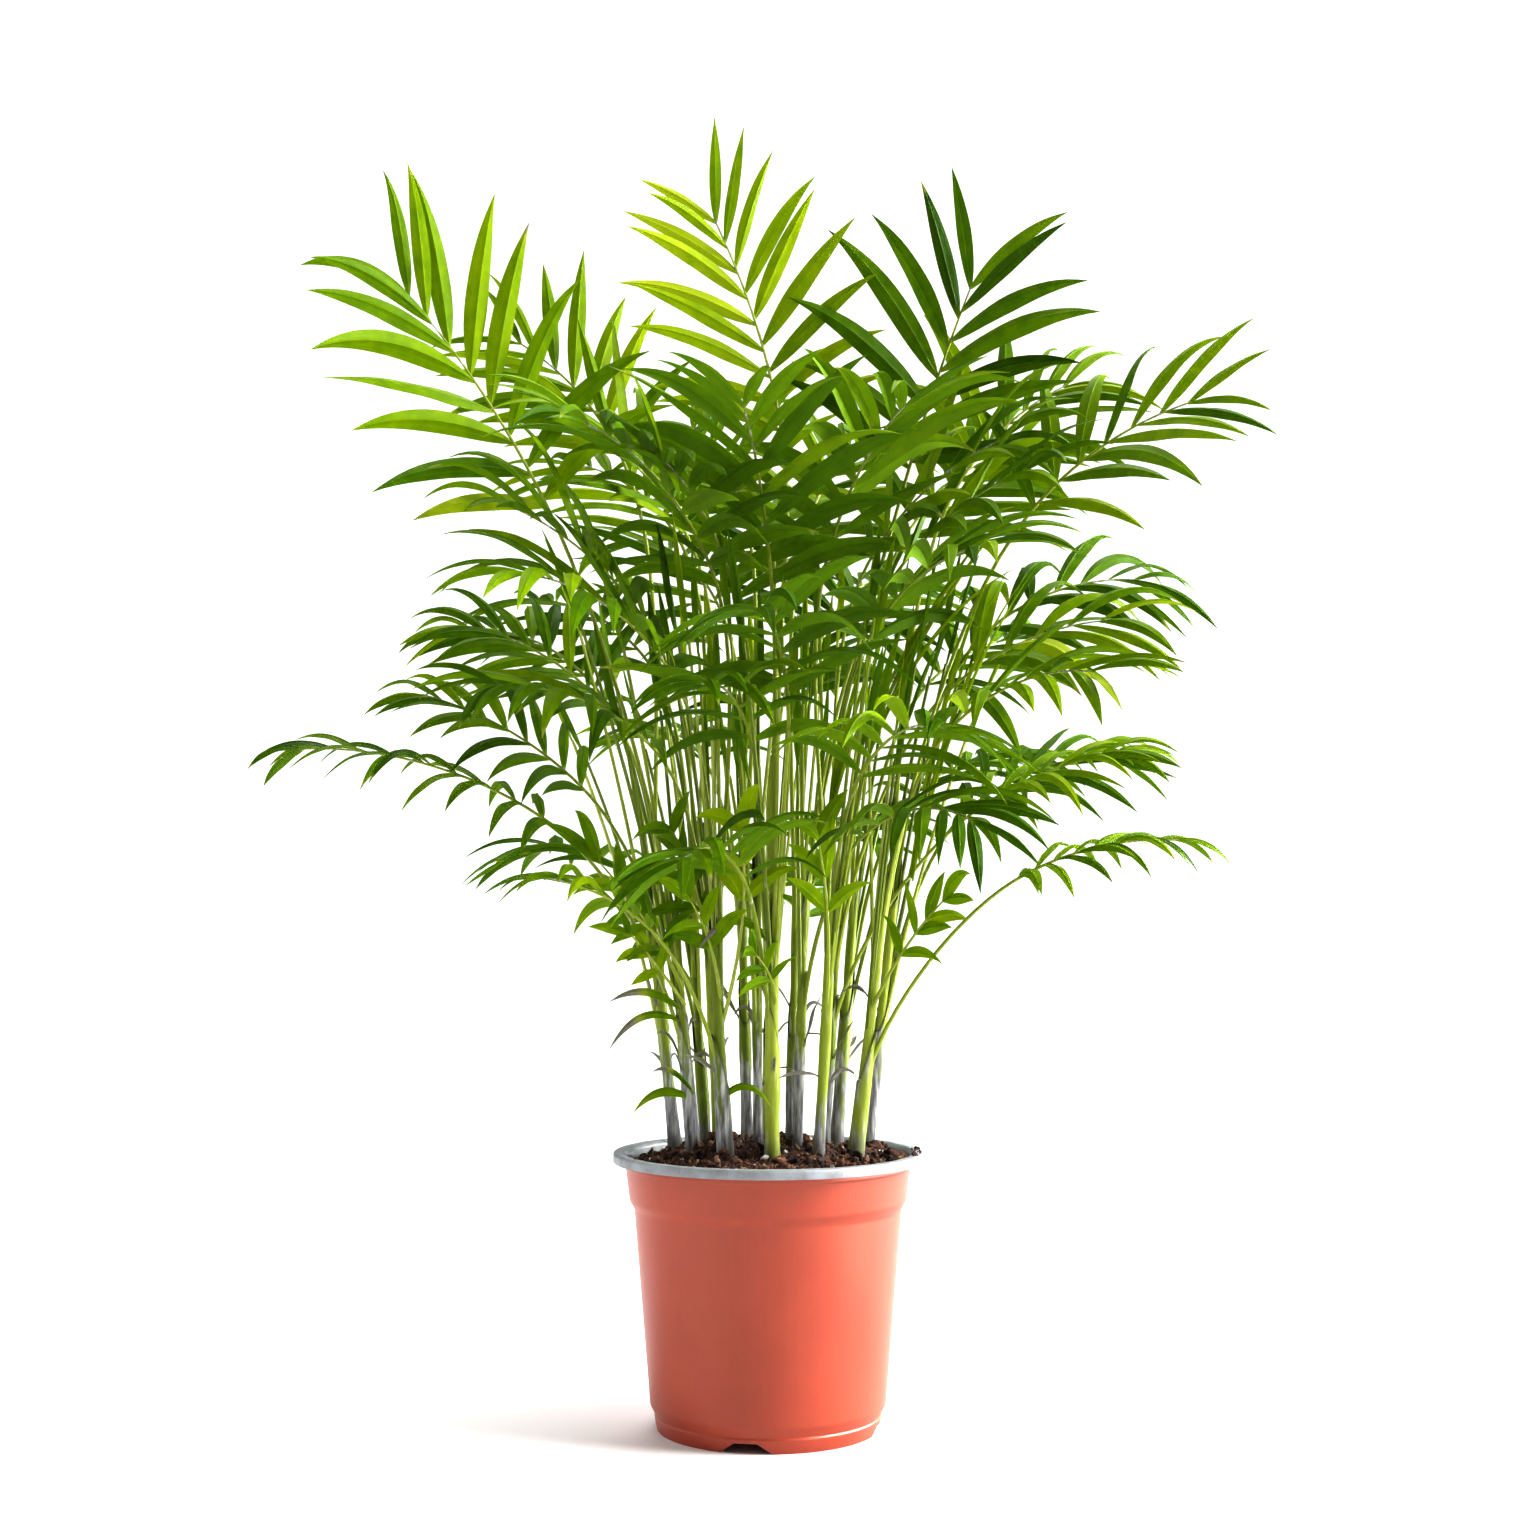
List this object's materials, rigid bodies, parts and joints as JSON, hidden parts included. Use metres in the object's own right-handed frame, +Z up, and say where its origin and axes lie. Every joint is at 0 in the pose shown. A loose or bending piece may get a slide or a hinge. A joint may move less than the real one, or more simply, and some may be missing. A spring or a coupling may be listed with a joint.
{
  "type": "potted parlor palm",
  "caption": "Clump of young parlor palms with arching pinnate fronds, growing in peat in a round tapered plastic nursery pot",
  "frame": {"origin": "on the floor below the middle of the pot, at the centre of its foot ring and of the whole plant's outline", "axes": "+Z up along the plant's height, -Y the front, +X to the right seen from the front"},
  "size_m": [0.5537, 0.4882, 0.7191],
  "materials": {
    "pot": "satin terracotta outside, grey inside and on the rim",
    "soil": null,
    "foliage": null
  },
  "bodies": {
    "root": {"pot": "pot", "soil": "soil", "palm_01": "foliage", "palm_02": "foliage", "palm_03": "foliage", "palm_04": "foliage", "palm_05": "foliage", "palm_06": "foliage", "palm_07": "foliage", "palm_08": "foliage", "palm_09": "foliage", "palm_10": "foliage", "palm_11": "foliage", "palm_12": "foliage", "palm_13": "foliage", "palm_14": "foliage", "palm_15": "foliage", "palm_16": "foliage"}
  },
  "joints": []
}
